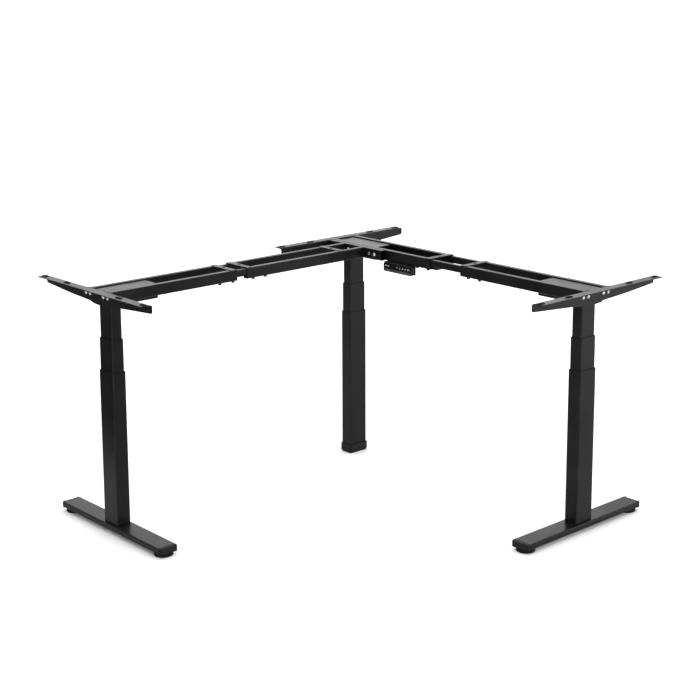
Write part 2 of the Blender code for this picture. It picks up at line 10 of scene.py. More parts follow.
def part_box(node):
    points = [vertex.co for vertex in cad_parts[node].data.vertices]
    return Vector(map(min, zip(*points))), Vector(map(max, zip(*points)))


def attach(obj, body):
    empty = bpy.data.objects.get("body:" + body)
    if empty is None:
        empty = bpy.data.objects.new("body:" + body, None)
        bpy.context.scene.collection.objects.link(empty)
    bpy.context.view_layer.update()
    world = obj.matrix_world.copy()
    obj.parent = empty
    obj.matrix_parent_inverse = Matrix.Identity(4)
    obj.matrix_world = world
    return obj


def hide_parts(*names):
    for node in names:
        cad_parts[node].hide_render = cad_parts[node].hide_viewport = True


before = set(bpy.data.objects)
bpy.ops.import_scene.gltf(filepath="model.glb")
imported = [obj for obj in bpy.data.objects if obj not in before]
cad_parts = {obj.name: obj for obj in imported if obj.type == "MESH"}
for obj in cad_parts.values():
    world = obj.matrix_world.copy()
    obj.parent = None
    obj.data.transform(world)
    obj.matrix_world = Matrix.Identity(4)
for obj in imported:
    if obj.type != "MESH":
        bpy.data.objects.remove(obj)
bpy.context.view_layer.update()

# ---- Studio ---------------------------------------------------------------------------------------
# A wide pale floor under an even pale sky, with large soft lamps above, behind and to the right of the
# desk, and two black cards that only reflections see. The camera stands opposite the corner, outside the
# two wings' ends, and looks down on the desk along its diagonal.

scene = bpy.context.scene
scene.view_settings.view_transform = "Standard"


def deselect():
    """Leaves edit mode, with nothing selected."""
    if bpy.context.mode != "OBJECT":
        bpy.ops.object.mode_set(mode="OBJECT")
    bpy.ops.object.select_all(action="DESELECT")


deselect()
bpy.ops.mesh.primitive_plane_add(size=80.0)
floor = bpy.context.object
floor.name = "studio_floor"
floor_paint = bpy.data.materials.new("studio_floor_paint")
floor_paint.use_nodes = True
floor_shader = floor_paint.node_tree.nodes["Principled BSDF"]
floor_shader.inputs["Base Color"].default_value = (0.96, 0.96, 0.96, 1.0)
floor_shader.inputs["Roughness"].default_value = 0.75
floor.data.materials.append(floor_paint)

sky = bpy.data.worlds.new("studio_sky")
sky.use_nodes = True
sky.node_tree.nodes["Background"].inputs["Color"].default_value = (1.0, 1.0, 1.0, 1.0)
sky.node_tree.nodes["Background"].inputs["Strength"].default_value = 1.06
scene.world = sky


def softbox(name, place, aim, size, watts):
    """A square area lamp at `place` that faces `aim`."""
    lamp = bpy.data.lights.new(name, "AREA")
    lamp.shape, lamp.size, lamp.energy = "SQUARE", size, watts
    holder = bpy.data.objects.new(name, lamp)
    holder.location = place
    holder.rotation_euler = (Vector(aim) - Vector(place)).to_track_quat("-Z", "Y").to_euler()
    scene.collection.objects.link(holder)


softbox("overhead_softbox", (0.6, -0.6, 4.2), (0.5, -0.5, 0.0), 4.0, 50.0)
softbox("back_softbox", (-3.9, 2.9, 3.1), (0.5, -0.5, 0.6), 5.5, 120.0)
softbox("right_softbox", (5.2, 4.2, 1.6), (0.9, 0.0, 0.5), 2.6, 190.0)


CARD_HEIGHT = 0.004  # above the floor


def black_card(name, middle, size):
    """A black card low over the floor that only reflections see, to keep the sides facing it dark."""
    deselect()
    bpy.ops.mesh.primitive_plane_add(size=1.0, location=(*middle, CARD_HEIGHT))
    card = bpy.context.object
    card.name = name
    card.scale = (*size, 1.0)
    paint = bpy.data.materials.new(name)
    paint.use_nodes = True
    black = paint.node_tree.nodes["Principled BSDF"]
    black.inputs["Base Color"].default_value = (0.0, 0.0, 0.0, 1.0)
    black.inputs["Specular IOR Level"].default_value = 0.0
    card.data.materials.append(paint)
    card.visible_camera = card.visible_diffuse = card.visible_shadow = card.visible_transmission = False


black_card("left_black_card", (-2.1, -2.9), (3.2, 2.8))
black_card("right_black_card", (3.0, 0.1), (2.2, 1.9))

lens = bpy.data.cameras.new("desk_camera")
lens.sensor_width, lens.lens = 36.0, 76.8
lens.shift_x, lens.shift_y = 0.0071, -0.15
lens.clip_end = 200.0
camera = bpy.data.objects.new("desk_camera", lens)
camera.matrix_world = (
    Matrix.Translation((4.0445, -3.6805, 1.8709))
    @ Matrix.Rotation(math.radians(48.0316), 4, "Z")
    @ Matrix.Rotation(math.radians(90.0 - 11.0886), 4, "X")
    @ Matrix.Rotation(math.radians(-0.2179), 4, "Z")
)
scene.collection.objects.link(camera)
scene.camera = camera

# ---- Lifting columns ------------------------------------------------------------------------------
# Each leg is three nested welded steel tubes with round corners, in a satin black powder coat. A thin
# plastic wiper ring is pressed into the mouth of the two lower tubes and closes the gap to the next.

TUBE_WALL, TUBE_CORNER = 0.0015, 0.0045
WIPER_DEPTH, WIPER_LIP, WIPER_WALL, WIPER_GAP, WIPER_RIM = 0.010, 0.0008, 0.0009, 0.0001, 0.0002


class Wire:
    """A shader socket that takes part in arithmetic, so that a pattern is written as an expression."""

    def __init__(self, finish, socket):
        self.finish, self.socket = finish, socket

    def math(self, operation, *others):
        values = dict(enumerate((self, *others)))
        return self.finish.node("Math", {"operation": operation}, values)

    def __add__(self, other):
        return self.math("ADD", other)

    def __sub__(self, other):
        return self.math("SUBTRACT", other)

    def __rsub__(self, other):
        return self.math("MULTIPLY_ADD", -1.0, other)

    def __mul__(self, other):
        return self.math("MULTIPLY", other)

    __radd__, __rmul__ = __add__, __mul__

    def between(self, low, high):
        """0 below `low` and 1 above `high`, with an even rise between them."""
        sockets = {"Value": self, "From Min": low, "From Max": high}
        return self.finish.node("MapRange", {"clamp": True}, sockets)


class Finish:
    """A procedural material: a Principled shader, and the nodes that vary it over the surface."""

    def __init__(self, name, constants):
        self.material = bpy.data.materials.new(name)
        self.material.use_nodes = True
        self.shader = self.material.node_tree.nodes["Principled BSDF"]
        for socket, value in constants.items():
            self.shader.inputs[socket].default_value = value

    def connect(self, socket, value):
        if isinstance(value, Wire):
            self.material.node_tree.links.new(value.socket, socket)
        else:
            socket.default_value = value

    def node(self, kind, settings, sockets, output=0):
        made = self.material.node_tree.nodes.new("ShaderNode" + kind)
        for setting, value in settings.items():
            setattr(made, setting, value)
        for socket, value in sockets.items():
            self.connect(made.inputs[socket], value)
        return Wire(self, made.outputs[output])

    def noise(self, per_metre, detail=2.0, stretch=(1.0, 1.0, 1.0)):
        """Fractal noise with this many lumps to a metre, squeezed along an axis by a larger `stretch`."""
        place = self.node("TexCoord", {}, {}, "Object")
        place = self.node("Mapping", {}, {"Vector": place, "Scale": stretch})
        return self.node("TexNoise", {}, {"Vector": place, "Scale": per_metre, "Detail": detail})

    def facing_up(self):
        """How far the surface faces up, from 0 on a side to 1 on a top."""
        normal = self.node("TexCoord", {}, {}, "Normal")
        return self.node("SeparateXYZ", {}, {"Vector": normal}, "Z").between(0.3, 1.0)

    def corner_highlight_mask(self):
        """1 on the middle of a rounded upright corner, where a highlight is painted, and 0 on the flat sides
        beside it.
        """
        normal = self.node("TexCoord", {}, {}, "Normal")
        x, y = (self.node("SeparateXYZ", {}, {"Vector": normal}, axis) for axis in "XY")
        return (x * y).math("ABSOLUTE").between(0.30, 0.46)

    def mix(self, mask, first, second):
        sockets = {0: mask, 6: first, 7: second}
        return self.node("Mix", {"data_type": "RGBA"}, sockets, 2)

    def relief(self, height, depth, strength=1.0):
        """Bump of this depth, in metres, on the shader's normal."""
        sockets = {"Height": height, "Distance": depth, "Strength": strength}
        self.put("Normal", self.node("Bump", {}, sockets))

    def put(self, socket, value):
        self.connect(self.shader.inputs[socket], value)


def powder_coat():
    """Satin black powder coat: fine orange peel, cloudy gloss, a painted highlight down the rounded upright
    corners, and dusty tops.
    """
    coat = Finish("satin_powder_coat", {"Metallic": 0.0, "Specular IOR Level": 0.10})
    clouds = coat.noise(9.0, 4.0).between(0.35, 0.68)
    peel = coat.noise(620.0, 3.0)
    specks = coat.noise(2600.0, 1.0)
    dust = coat.facing_up() * coat.noise(170.0, 6.0).between(0.45, 0.80)
    paint = coat.mix(clouds, (0.0036, 0.0037, 0.0039, 1.0), (0.0060, 0.0061, 0.0064, 1.0))
    paint = coat.mix(specks.between(0.60, 0.75) * 0.35, paint, (0.016, 0.016, 0.017, 1.0))
    # Painted highlight: a lighter colour in patches down the middle of the rounded upright corners.
    painted_corner_highlight = coat.corner_highlight_mask() * coat.noise(22.0, 4.0).between(0.25, 0.60)
    paint = coat.mix(painted_corner_highlight * 0.4, paint, (0.040, 0.040, 0.042, 1.0))
    coat.put("Base Color", coat.mix(dust * 0.16, paint, (0.120, 0.117, 0.112, 1.0)))
    coat.put("Roughness", 0.30 + clouds * 0.06 + dust * 0.08 + peel * 0.04)
    coat.relief(peel + specks * 0.4, 0.00005, 0.5)
    return coat.material


def moulded_plastic(name, tone):
    """A black moulding with a spark-eroded grain, slightly worn smooth in places."""
    plastic = Finish(name, {"Metallic": 0.0, "Specular IOR Level": 0.12})
    grain = plastic.noise(1500.0, 3.0)
    worn = plastic.noise(35.0, 4.0).between(0.45, 0.72)
    dust = plastic.facing_up() * plastic.noise(240.0, 5.0).between(0.50, 0.80)
    dark = tuple(0.8 * channel for channel in tone)
    paint = plastic.mix(grain.between(0.35, 0.65), (*dark, 1.0), (*tone, 1.0))
    plastic.put("Base Color", plastic.mix(dust * 0.10, paint, (0.060, 0.059, 0.057, 1.0)))
    plastic.put("Roughness", 0.56 - worn * 0.09 + grain * 0.06)
    plastic.relief(grain, 0.00015, 0.6)
    return plastic.material


def block(name, low, high):
    """A box between two corners, the start of a piece, with its place in its mesh."""
    deselect()
    low, high = Vector(low), Vector(high)
    bpy.ops.mesh.primitive_cube_add(size=1.0, location=(low + high) / 2)
    made = bpy.context.object
    made.name = made.data.name = name
    made.scale = high - low
    bpy.ops.object.transform_apply(location=True, rotation=True, scale=True)
    return made


def edit(piece):
    """Opens a piece in edit mode, with all of it selected."""
    deselect()
    piece.select_set(True)
    bpy.context.view_layer.objects.active = piece
    bpy.ops.object.mode_set(mode="EDIT")
    bpy.ops.mesh.select_all(action="SELECT")


def choose(piece, kind, test):
    """Selects the FACE, EDGE or VERT elements that pass a test on their corners and a face's normal."""
    bpy.ops.mesh.select_mode(type=kind)
    bpy.ops.mesh.select_all(action="DESELECT")
    drawing = bmesh.from_edit_mesh(piece.data)
    drawing.normal_update()
    found = {"FACE": drawing.faces, "EDGE": drawing.edges, "VERT": drawing.verts}[kind]
    for item in found:
        corners = [item.co] if kind == "VERT" else [corner.co for corner in item.verts]
        item.select_set(test(corners, item.normal) if kind == "FACE" else test(corners))
    drawing.select_flush_mode()
    bmesh.update_edit_mesh(piece.data)


def apply(piece, kind, **settings):
    """Adds one modifier to a piece and applies it."""
    deselect()
    piece.select_set(True)
    bpy.context.view_layer.objects.active = piece
    step = piece.modifiers.new(kind.lower(), kind)
    for setting, value in settings.items():
        setattr(step, setting, value)
    bpy.ops.object.modifier_apply(modifier=step.name)
    return piece


def soften(piece, width, segments=2, angle=40.0):
    """Rounds the sharp edges."""
    return apply(
        piece, "BEVEL", width=width, segments=segments, limit_method="ANGLE",
        angle_limit=math.radians(angle), use_clamp_overlap=True,
    )


def join(*pieces):
    """One piece from several, under the first one's name."""
    deselect()
    for piece in pieces:
        piece.select_set(True)
    bpy.context.view_layer.objects.active = pieces[0]
    bpy.ops.object.join()
    return pieces[0]


def fit(piece, body, finish, slot, *nodes):
    """Gives a finished piece its shading and material, and fixes it to its body in place of the CAD nodes."""
    deselect()
    piece.select_set(True)
    bpy.context.view_layer.objects.active = piece
    bpy.ops.object.shade_smooth_by_angle(angle=math.radians(35.0))
    apply(piece, "WEIGHTED_NORMAL", keep_sharp=True)
    piece.data.materials.clear()
    piece.data.materials.append(finish)
    if nodes:
        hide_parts(*nodes)
    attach(piece, body)
    return piece


def square_tube(name, low, high, axis, wall, corner, rim=0.0003):
    """A rectangular tube with round corners, open at both ends, running along an axis 0, 1 or 2."""
    tube = block(name, low, high)
    edit(tube)
    choose(tube, "FACE", lambda corners, normal: abs(normal[axis]) > 0.9)
    bpy.ops.mesh.delete(type="FACE")
    choose(tube, "EDGE", lambda ends: abs(ends[0][axis] - ends[1][axis]) > 0.9 * (high[axis] - low[axis]))
    bpy.ops.mesh.bevel(offset=corner, segments=6, affect="EDGES")
    apply(tube, "SOLIDIFY", thickness=wall, offset=-1.0, use_even_offset=True)
    return soften(tube, rim, angle=60.0)


def grown(box, amounts):
    """The box's corners, each side moved out by the amount for its axis."""
    low, high = box
    amounts = Vector(amounts)
    return Vector(low) - amounts, Vector(high) + amounts


black_coat = powder_coat()
black_moulding = moulded_plastic("black_moulding", (0.0070, 0.0071, 0.0075))

legs = {
    "corner": ("corner_foot", "corner_middle", "desk_frame"),
    "right": ("right_foot", "right_middle", "right_end"),
    "left": ("left_foot", "left_middle", "left_end"),
}
for leg, bodies in legs.items():
    for stage, body in zip(("outer", "middle", "inner"), bodies):
        node = f"{leg}_{stage}_tube"
        low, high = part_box(node)
        tube = square_tube(f"{node}_skin", low, high, 2, TUBE_WALL, TUBE_CORNER)
        fit(tube, body, black_coat, "black_powder_coat", node)
        if stage == "inner":
            continue
        inset = -TUBE_WALL - WIPER_GAP
        mouth_low, mouth_high = grown((low, high), (inset, inset, 0.0))
        mouth_low.z, mouth_high.z = high[2] - WIPER_DEPTH, high[2] + WIPER_LIP
        wiper = square_tube(
            f"{leg}_{stage}_wiper", mouth_low, mouth_high, 2, WIPER_WALL, TUBE_CORNER - TUBE_WALL, WIPER_RIM
        )
        fit(wiper, body, black_moulding, "black_plastic")

# ---- Screw drives and gear motors -----------------------------------------------------------------
# Inside each column a bright rolled spindle turns in a hollow screw, which rises out of a steel tube
# fixed in the lowest stage. A worm-gear motor in a dark grey coat drives the spindle, and lies along the
# beam under its sheet cover.


def rolled_steel():
    """Bright zinc-plated steel with fine turning marks round it and a soft cloudy plating."""
    steel = Finish("zinc_plate", {"Metallic": 1.0})
    clouds = steel.noise(60.0, 4.0).between(0.35, 0.70)
    marks = steel.noise(900.0, 2.0, (0.1, 0.1, 3.0))
    steel.put("Base Color", steel.mix(clouds, (0.50, 0.51, 0.53, 1.0), (0.64, 0.65, 0.66, 1.0)))
    steel.put("Roughness", 0.26 + clouds * 0.12 + marks * 0.05)
    steel.relief(marks, 0.00006, 0.5)
    return steel.material


def motor_enamel():
    """A dark grey coated casting and motor can, with a sandy grain."""
    enamel = Finish("motor_enamel", {"Metallic": 0.5})
    sand = enamel.noise(800.0, 4.0)
    clouds = enamel.noise(40.0, 3.0).between(0.35, 0.70)
    enamel.put("Base Color", enamel.mix(clouds, (0.120, 0.120, 0.128, 1.0), (0.180, 0.180, 0.190, 1.0)))
    enamel.put("Roughness", 0.42 + sand * 0.12)
    enamel.relief(sand, 0.00020, 0.5)
    return enamel.material


def recoat(node, finish):
    """A CAD node that keeps its own shape gets a detailed finish."""
    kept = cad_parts[node]
    kept.data.materials.clear()
    kept.data.materials.append(finish)


zinc = rolled_steel()
enamel = motor_enamel()
for leg in legs:
    for node, finish in (
        ("upper_spindle", zinc), ("middle_screw", zinc), ("nut_tube", enamel), ("gear_motor", enamel),
    ):
        recoat(f"{leg}_{node}", finish)

# ---- Corner shoe ----------------------------------------------------------------------------------
# The corner column has no foot. It is pushed into a shallow moulded shoe with a rounded rim and a small
# pointed rib on one side, which stands on a thin rubber pad.

SHOE_CORNER, SHOE_CLEARANCE, SHOE_SINK, SHOE_RIM = 0.0075, 0.0042, 0.0215, 0.0012
RIB_HALF_WIDTH, RIB_LOW, RIB_HIGH, RIB_PEAK = 0.009, 0.0075, 0.0105, 0.010
PAD_CORNER, PAD_EDGE = 0.005, 0.0007


def round_along(piece, axis, radius, segments):
    """Rounds the four edges of a block that run along an axis, and leaves it in edit mode."""
    edit(piece)
    choose(piece, "EDGE", lambda ends: abs(ends[0][axis] - ends[1][axis]) > 0.0001)
    bpy.ops.mesh.bevel(offset=radius, segments=segments, affect="EDGES")


def soft_rubber():
    """Matt black rubber with a dusty, slightly open surface."""
    rubber = Finish("black_rubber", {"Metallic": 0.0, "Specular IOR Level": 0.12})
    pores = rubber.noise(1100.0, 4.0)
    scuffs = rubber.noise(90.0, 5.0).between(0.50, 0.80)
    paint = rubber.mix(scuffs * 0.5, (0.0070, 0.0070, 0.0073, 1.0), (0.028, 0.0275, 0.027, 1.0))
    rubber.put("Base Color", paint)
    rubber.put("Roughness", 0.74 + pores * 0.10 + scuffs * 0.08)
    rubber.relief(pores, 0.00015, 0.6)
    return rubber.material


rubber_finish = soft_rubber()
low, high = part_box("corner_shoe")
shoe = block("corner_shoe_moulding", low, high)
round_along(shoe, 2, SHOE_CORNER, 6)
choose(shoe, "FACE", lambda corners, normal: normal.z > 0.9)
bpy.ops.mesh.inset(thickness=SHOE_CLEARANCE)
bpy.ops.mesh.extrude_region_move(TRANSFORM_OT_translate={"value": (0.0, 0.0, -SHOE_SINK)})
soften(shoe, SHOE_RIM, 3, 50.0)
rib_middle = (low[1] + high[1]) / 2
rib = block(
    "corner_shoe_rib", (high[0] - 0.0006, rib_middle - RIB_HALF_WIDTH, RIB_LOW),
    (high[0] + 0.0011, rib_middle + RIB_HALF_WIDTH, RIB_HIGH),
)
edit(rib)
bpy.ops.mesh.bisect(plane_co=(high[0], rib_middle, 0.009), plane_no=(0.0, 1.0, 0.0))
choose(rib, "VERT", lambda corners: abs(corners[0].y - rib_middle) < 0.001)
bpy.ops.transform.translate(value=(0.0, 0.0, RIB_PEAK))
soften(rib, 0.0003, 1, 50.0)
fit(join(shoe, rib), "corner_foot", black_moulding, "black_plastic", "corner_shoe")

low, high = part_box("corner_floor_pad")
pad = block("corner_pad_rubber", low, high)
round_along(pad, 2, PAD_CORNER, 5)
soften(pad, PAD_EDGE, 2, 50.0)
fit(pad, "corner_foot", rubber_finish, "black_rubber", "corner_floor_pad")

# ---- Feet -----------------------------------------------------------------------------------------
# A flat steel tube lies across each end column, closed by two moulded caps that slope down a little to
# their tips. It stands on two rubber levelling glides, each screwed in with a hexagonal nut.

FOOT_WALL, FOOT_CORNER = 0.002, 0.0042
CAP_PLAN_CORNER, CAP_EDGE, CAP_SLOPE = 0.010, 0.0040, 0.0012
CAP_REACH, CAP_SHOULDER = 0.0155, 0.025  # how far in from the tip, and from what height, it is rounded
GLIDE_NUT, NUT_THICKNESS, NUT_MIDDLE = 0.0075, 0.0024, 0.0112
STEM, STEM_BOTTOM = 0.0040, 0.0086


def turned(name, profile, sides):
    """A turned piece round the Z axis at the origin: the (radius, height) profile spun once round."""
    deselect()
    bpy.ops.mesh.primitive_plane_add(size=0.001)
    made = bpy.context.object
    made.name = made.data.name = name
    edit(made)
    bpy.ops.mesh.delete(type="VERT")
    drawing = bmesh.from_edit_mesh(made.data)
    points = [drawing.verts.new((radius, 0.0, height)) for radius, height in profile]
    for first, second in zip(points, points[1:]):
        drawing.edges.new((first, second))
    bmesh.update_edit_mesh(made.data)
    bpy.ops.mesh.select_all(action="SELECT")
    bpy.ops.mesh.spin(steps=sides, angle=2 * math.pi, center=(0.0, 0.0, 0.0), axis=(0.0, 0.0, 1.0))
    bpy.ops.mesh.select_all(action="SELECT")
    bpy.ops.mesh.remove_doubles(threshold=0.00001)
    bpy.ops.mesh.normals_make_consistent(inside=False)
    deselect()
    return made


def copy_at(model, name, place, facing=(0.0, 0.0, 1.0), spin=0.0):
    """A copy of a model made at the origin, moved to `place` with its Z axis turned to `facing`."""
    copy = model.copy()
    copy.data = model.data.copy()
    copy.name = copy.data.name = name
    scene.collection.objects.link(copy)
    turn = Vector((0.0, 0.0, 1.0)).rotation_difference(Vector(facing)).to_matrix().to_4x4()
    copy.matrix_world = Matrix.Translation(place) @ turn @ Matrix.Rotation(spin, 4, "Z")
    deselect()
    copy.select_set(True)
    bpy.context.view_layer.objects.active = copy
    bpy.ops.object.transform_apply(location=True, rotation=True, scale=True)
    return copy


def retire(*models):
    """Throws away models and cutters that have done their work."""
    for model in models:
        bpy.data.objects.remove(model, do_unlink=True)


glide_low, glide_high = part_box("right_front_glide")
glide_radius, glide_top = (glide_high[0] - glide_low[0]) / 2, glide_high[2]
glide_model = turned(
    "glide_model",
    (
        (0.0, 0.0102), (0.0150, 0.0102), (glide_radius - 0.0055, 0.0096), (glide_radius - 0.0030, 0.0086),
        (glide_radius - 0.0014, 0.0066), (glide_radius, 0.0040), (glide_radius, 0.0012),
        (glide_radius - 0.0010, 0.0), (glide_radius - 0.0060, 0.0), (glide_radius - 0.0075, 0.0006),
        (0.0, 0.0006),
    ),
    64,
)
deselect()
bpy.ops.mesh.primitive_cylinder_add(
    vertices=6, radius=GLIDE_NUT, depth=NUT_THICKNESS, location=(0.0, 0.0, NUT_MIDDLE)
)
nut = bpy.context.object
bpy.ops.object.transform_apply(location=True, rotation=True, scale=True)
soften(nut, 0.0005, 2)
deselect()
bpy.ops.mesh.primitive_cylinder_add(
    vertices=24, radius=STEM, depth=glide_top - STEM_BOTTOM,
    location=(0.0, 0.0, (glide_top + STEM_BOTTOM) / 2),
)
stem = bpy.context.object
bpy.ops.object.transform_apply(location=True, rotation=True, scale=True)
edit(stem)
choose(stem, "FACE", lambda corners, normal: abs(normal.z) > 0.9)
bpy.ops.mesh.inset(thickness=0.0005)
soften(stem, 0.0002, 1)
join(glide_model, nut, stem)

for leg, axis in (("right", 1), ("left", 0)):
    node = f"{leg}_foot_tube"
    low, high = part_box(node)
    tube = square_tube(f"{node}_skin", low, high, axis, FOOT_WALL, FOOT_CORNER)
    fit(tube, f"{leg}_foot", black_coat, "black_powder_coat", node)
    foot_middle = (low[axis] + high[axis]) / 2
    for end in ("front", "rear"):
        node = f"{leg}_{end}_cap"
        low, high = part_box(node)
        tip_side = math.copysign(1.0, (low[axis] + high[axis]) / 2 - foot_middle)
        tip = high[axis] if tip_side > 0 else low[axis]
        cap = block(f"{node}_moulding", low, high)
        edit(cap)
        choose(
            cap, "EDGE",
            lambda ends: all(abs(c[axis] - tip) < 0.001 for c in ends) and abs(ends[0].z - ends[1].z) > 0.01,
        )
        bpy.ops.mesh.bevel(offset=CAP_PLAN_CORNER, segments=8, affect="EDGES")
        choose(
            cap, "VERT",
            lambda corners: abs(corners[0][axis] - tip) < 0.0005 and corners[0].z > CAP_SHOULDER,
        )
        bpy.ops.transform.translate(value=(0.0, 0.0, -CAP_SLOPE))
        choose(
            cap, "EDGE",
            lambda ends: min(c.z for c in ends) > CAP_SHOULDER
            and any(abs(c[axis] - tip) < CAP_REACH for c in ends)
            and not all(abs(c[axis] - tip) > CAP_REACH for c in ends),
        )
        bpy.ops.mesh.bevel(offset=CAP_EDGE, segments=5, affect="EDGES")
        soften(cap, 0.0004, 1, 50.0)
        fit(cap, f"{leg}_foot", black_moulding, "black_plastic", node)
        node = f"{leg}_{end}_glide"
        low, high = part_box(node)
        glide = copy_at(glide_model, f"{node}_disc", ((low[0] + high[0]) / 2, (low[1] + high[1]) / 2, 0.0))
        fit(glide, f"{leg}_foot", rubber_finish, "black_rubber", node)
retire(glide_model)

# ---- Rail frames ----------------------------------------------------------------------------------
# Each beam section is a pair of rectangular steel rails with flat ties welded across their tops, and an
# end plate on each rail where a side bracket is bolted. Smaller rails slide inside and join two sections.

RAIL_WIDTH, RAIL_DEPTH, RAIL_WALL = 0.020, 0.037, 0.002
RAIL_CORNER, INNER_RAIL_CORNER, BEAM_HALF_WIDTH = 0.0028, 0.0024, 0.060
PLATE_SHEET, PLATE_HALF_WIDTH, PLATE_CORNER = 0.003, 0.0225, 0.004
PLATE_TOP, PLATE_BOTTOM = 0.0005, 0.035  # below the top of the rails
TIE_WIDTH, TIE_HALF_LENGTH, TIE_THICKNESS, TIE_SINK, TIE_CORNER = 0.022, 0.0592, 0.0035, 0.002, 0.003
TIE_INSET = 0.002  # from the end of the rails to the tie
CORNER_TIE_PLACE = -0.185  # the return frame's tie beside the corner
HOLE_RADIUS, SHEET_EDGE = 0.006, 0.0004
rail_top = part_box("right_side_bracket")[1][2]


def hole_cutter(place, radius, reach=0.01):
    """An upright round bar that cuts a hole through a sheet."""
    deselect()
    bpy.ops.mesh.primitive_cylinder_add(vertices=48, radius=radius, depth=2 * reach, location=place)
    return bpy.context.object


def cut(piece, *cutters):
    """Cuts each cutter's shape out of a piece, and throws the cutter away."""
    for cutter in cutters:
        apply(piece, "BOOLEAN", operation="DIFFERENCE", solver="EXACT", object=cutter)
        retire(cutter)
    return piece


def along(axis, lengthwise, across, heights):
    """Low and high corners of a box from its ranges along a beam, across it and in height."""
    ranges = (lengthwise, across, heights) if axis == 0 else (across, lengthwise, heights)
    return tuple(Vector(corner) for corner in zip(*ranges))


def beam_section(name, axis, start, end, middle, tie_places, plate_end=None):
    """Two rails side by side, `middle` being the line between them, their ties and their end plates."""
    made = []
    for side in (-1.0, 1.0):
        outer = middle + side * BEAM_HALF_WIDTH
        across = sorted((outer, outer - side * RAIL_WIDTH))
        corners = along(axis, (start, end), across, (rail_top - RAIL_DEPTH, rail_top))
        made.append(square_tube(f"{name}_rail", *corners, axis, RAIL_WALL, RAIL_CORNER))
        if plate_end is not None:
            outward = math.copysign(1.0, plate_end - (start + end) / 2)
            plate_middle = outer - side * RAIL_WIDTH / 2
            corners = along(
                axis, sorted((plate_end, plate_end + outward * PLATE_SHEET)),
                (plate_middle - PLATE_HALF_WIDTH, plate_middle + PLATE_HALF_WIDTH),
                (rail_top - PLATE_BOTTOM, rail_top - PLATE_TOP),
            )
            plate = block(f"{name}_plate", *corners)
            round_along(plate, axis, PLATE_CORNER, 5)
            made.append(soften(plate, SHEET_EDGE, 2, 50.0))
    for place in tie_places:
        corners = along(
            axis, (place - TIE_WIDTH / 2, place + TIE_WIDTH / 2),
            (middle - TIE_HALF_LENGTH, middle + TIE_HALF_LENGTH),
            (rail_top - TIE_SINK, rail_top - TIE_SINK + TIE_THICKNESS),
        )
        tie = block(f"{name}_tie", *corners)
        round_along(tie, 2, TIE_CORNER, 4)
        deselect()
        centre = (place, middle, rail_top) if axis == 0 else (middle, place, rail_top)
        cut(tie, hole_cutter(centre, HOLE_RADIUS))
        made.append(soften(tie, SHEET_EDGE, 2, 50.0))
    return made


tie_offset = TIE_INSET + TIE_WIDTH / 2
low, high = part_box("corner_rail_frame")
rails = beam_section(
    "corner_rails", 0, low[0] + PLATE_SHEET, high[0], 0.0, (high[0] - tie_offset,), low[0] + PLATE_SHEET
)
fit(join(*rails), "desk_frame", black_coat, "black_powder_coat", "corner_rail_frame")

low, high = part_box("right_rail_frame")
rails = beam_section(
    "right_rails", 0, low[0], high[0] - PLATE_SHEET, 0.0, (low[0] + tie_offset,), high[0] - PLATE_SHEET
)
fit(join(*rails), "right_end", black_coat, "black_powder_coat", "right_rail_frame")

return_middle = sum(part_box("left_outer_tube")[side][0] for side in (0, 1)) / 2
low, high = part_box("left_rail_frame")
rails = beam_section(
    "left_rails", 1, low[1] + PLATE_SHEET, high[1], return_middle, (high[1] - tie_offset,),
    low[1] + PLATE_SHEET,
)
fit(join(*rails), "left_end", black_coat, "black_powder_coat", "left_rail_frame")

low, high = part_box("return_rail_frame")
cross = square_tube(
    "return_cross_tube", (low[0], high[1] - RAIL_WIDTH, rail_top - RAIL_DEPTH), (high[0], high[1], rail_top),
    0, RAIL_WALL, RAIL_CORNER,
)
rails = beam_section(
    "return_rails", 1, low[1], high[1] - RAIL_WIDTH + 0.0003, return_middle,
    (low[1] + tie_offset, CORNER_TIE_PLACE),
)
fit(join(*rails, cross), "desk_frame", black_coat, "black_powder_coat", "return_rail_frame")

for wing, axis in (("main", 0), ("return", 1)):
    for side in ("near", "far"):
        node = f"{wing}_{side}_inner_rail"
        low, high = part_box(node)
        rail = square_tube(f"{node}_skin", low, high, axis, RAIL_WALL, INNER_RAIL_CORNER)
        fit(rail, "desk_frame", black_coat, "black_powder_coat", node)

# ---- Motor covers ---------------------------------------------------------------------------------
# A folded sheet-steel cover sits between the rails over each gear motor, open below, with soft upright
# bends at its inner end. The outer end has a small hole, or a curved edge on the corner column's cover.

COVER_SHEET, COVER_BEND, COVER_CORNER = 0.002, 0.0025, 0.007
COVER_GAP = 0.003  # along the far rail
COVER_HOLE, COVER_HOLE_INSET = 0.0030, 0.010
COVER_HOLE_OFFSETS = (-0.026, 0.006)  # across the beam, on the right and on the left cover
COVER_ARC, COVER_ARC_DEPTH = 0.0459, 0.0113
COVER_CUT = 0.004  # how far a cutter reaches above and below the sheet's top

